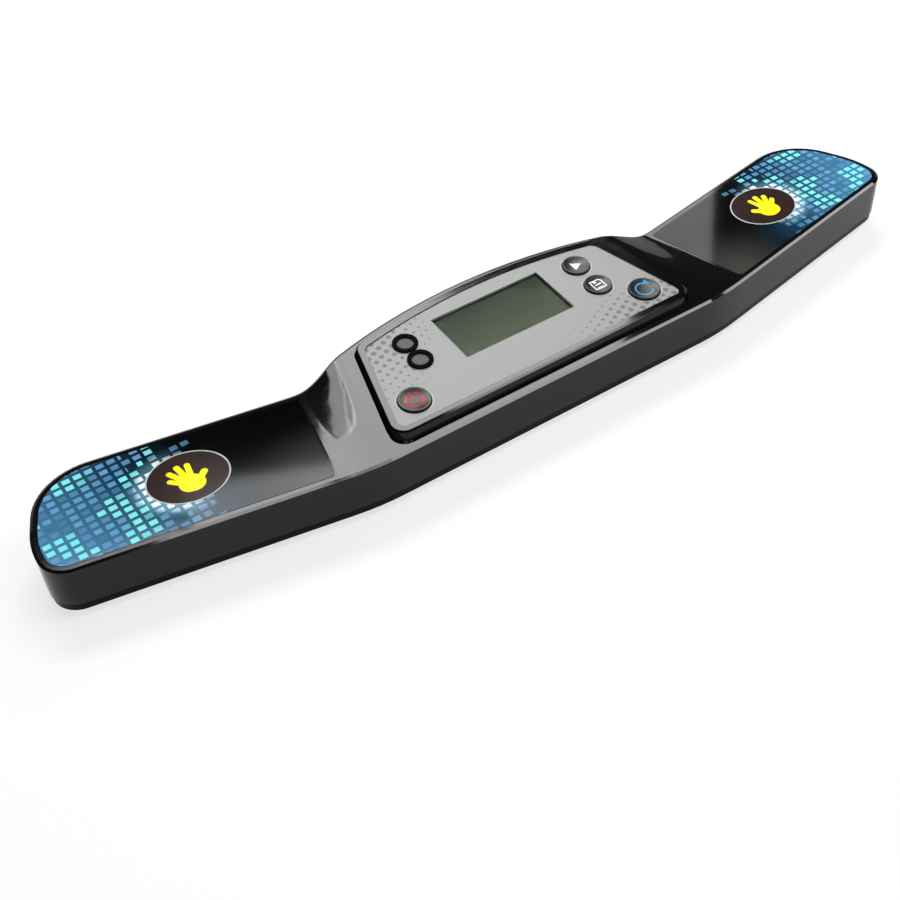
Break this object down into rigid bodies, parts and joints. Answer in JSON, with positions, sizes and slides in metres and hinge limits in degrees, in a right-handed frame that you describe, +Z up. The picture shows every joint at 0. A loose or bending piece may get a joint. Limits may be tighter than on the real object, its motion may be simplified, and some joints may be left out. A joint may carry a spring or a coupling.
{
  "type": "speed cube timer",
  "caption": "Two-handed cube timer: low swept black case, a printed touch pad on each wing, tilted display platform with round keys and state lamps.",
  "frame": {"origin": "middle of the case on the surface that the rubber feet stand on", "axes": "+X towards the right wing (longest), +Y towards the back, +Z up (shortest)"},
  "size_m": [0.289, 0.0496, 0.0233],
  "materials": {
    "black_case": "gloss",
    "black_bezel": "gloss",
    "printed_pad": "gloss",
    "silver_panel": "satin",
    "clear_window": "clear",
    "display_glass": "satin",
    "lamp_ring": "gloss",
    "lamp_lens": "satin",
    "key_black": "gloss",
    "inner_black": "matte",
    "inner_white": "matte",
    "conductive_rubber": "matte",
    "circuit_board": "satin",
    "led_epoxy": "gloss",
    "copper": "satin",
    "lead_sleeve": "satin",
    "cell_can": "satin",
    "plated_steel": "satin",
    "foot_rubber": "matte"
  },
  "bodies": {
    "case": {"upper_shell": "black_case", "lower_shell": "black_case", "right_pad": "printed_pad", "left_pad": "printed_pad", "right_sensor": "copper", "left_sensor": "copper", "right_lead": "lead_sleeve", "left_lead": "lead_sleeve", "bezel": "black_bezel", "face_panel": "silver_panel", "lcd_window": "clear_window", "lamp_rings": "lamp_ring", "lamp_lenses": "lamp_lens", "lamp_leds": "led_epoxy", "lcd_glass": "display_glass", "lcd_frame": "inner_black", "zebra_strips": "conductive_rubber", "main_board": "circuit_board", "board_screws": "plated_steel", "controller_chip": "inner_black", "crystal": "plated_steel", "buzzer": "inner_black", "tact_switches": "inner_black", "battery_cells": "cell_can", "contact_plates": "plated_steel", "contact_springs": "plated_steel", "shell_screws": "plated_steel", "feet": "foot_rubber"},
    "power_key": {"power_button": "key_black", "power_plunger": "inner_white"},
    "play_key": {"play_button": "key_black", "play_plunger": "inner_white"},
    "save_key": {"save_button": "key_black", "save_plunger": "inner_white"},
    "reset_key": {"reset_button": "key_black", "reset_plunger": "inner_white"},
    "door": {"battery_door": "black_case"}
  },
  "joints": [
    {"name": "power_press", "type": "slide", "parent": "case", "child": "power_key", "axis": [0, 0.0863, -0.9963], "range_m": [0, 0.0004], "stiffness_N_per_m": 1200, "springref_m": -0.0004},
    {"name": "play_press", "type": "slide", "parent": "case", "child": "play_key", "axis": [0, 0.0863, -0.9963], "range_m": [0, 0.0004], "stiffness_N_per_m": 1200, "springref_m": -0.0004},
    {"name": "save_press", "type": "slide", "parent": "case", "child": "save_key", "axis": [0, 0.0863, -0.9963], "range_m": [0, 0.0004], "stiffness_N_per_m": 1200, "springref_m": -0.0004},
    {"name": "reset_press", "type": "slide", "parent": "case", "child": "reset_key", "axis": [0, 0.0863, -0.9963], "range_m": [0, 0.0004], "stiffness_N_per_m": 1200, "springref_m": -0.0004},
    {"name": "door_swing", "type": "hinge", "parent": "case", "child": "door", "pos_m": [-0.0237, 0.003, 0.001], "axis": [0, 1, 0], "range_deg": [0, 60]}
  ]
}
